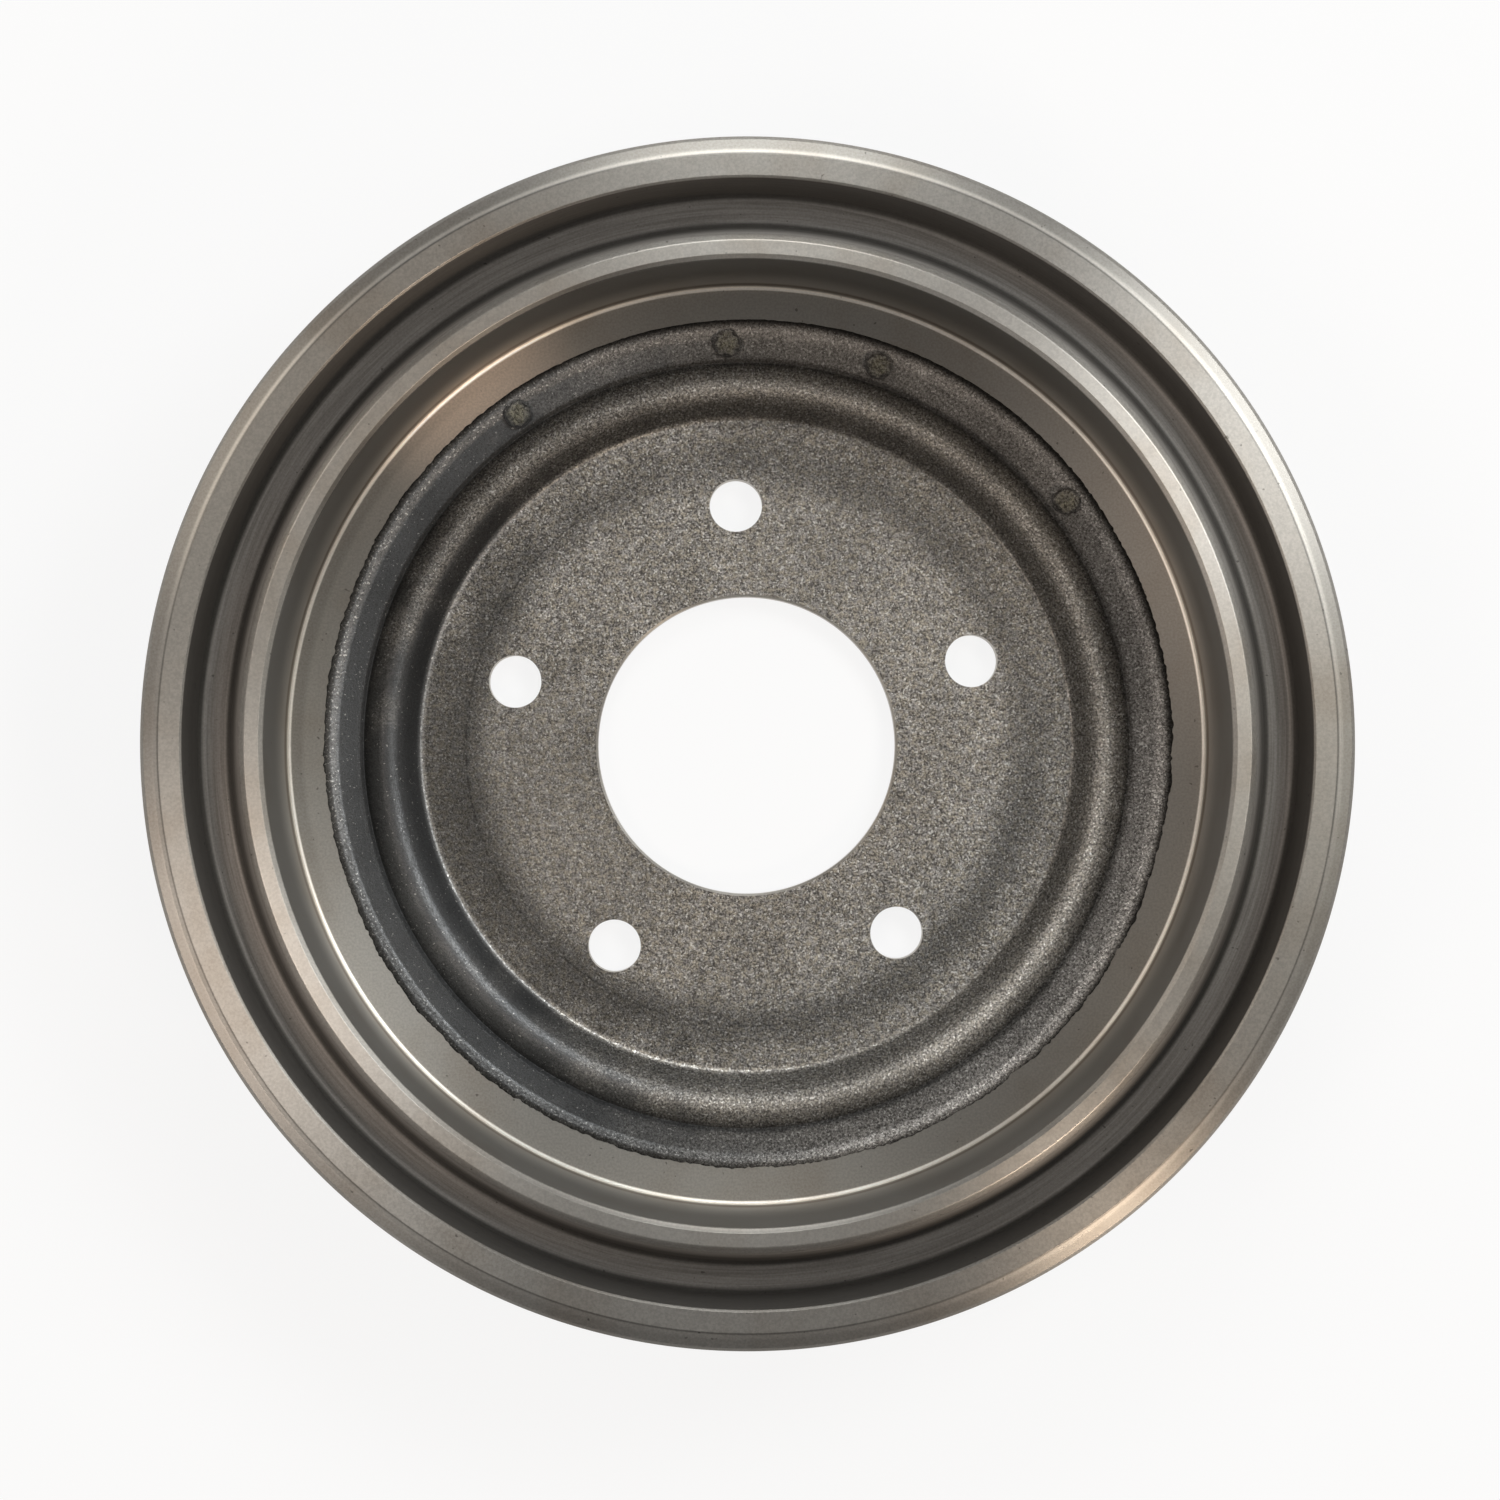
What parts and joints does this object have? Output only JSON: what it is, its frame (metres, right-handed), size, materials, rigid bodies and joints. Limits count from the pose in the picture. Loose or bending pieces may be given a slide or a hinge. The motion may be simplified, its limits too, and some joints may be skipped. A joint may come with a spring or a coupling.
{
  "type": "brake drum",
  "caption": "Cast-iron brake drum with a turned inner braking surface, a grooved outer flange round its open side, a flat hub disc with a centre bore and lug holes round it.",
  "frame": {"origin": "centre of the hub bore on the flat face that meets the wheel", "axes": "+Z along the drum's axis, from the wheel face towards the open side; +X to the right and +Y up when the drum is seen from its open side"},
  "size_m": [0.303, 0.303, 0.0675],
  "materials": {
    "grey_iron": "turned bright on the working faces, blasted as-cast elsewhere"
  },
  "bodies": {
    "root": {"brake_drum": "grey_iron"}
  },
  "joints": []
}
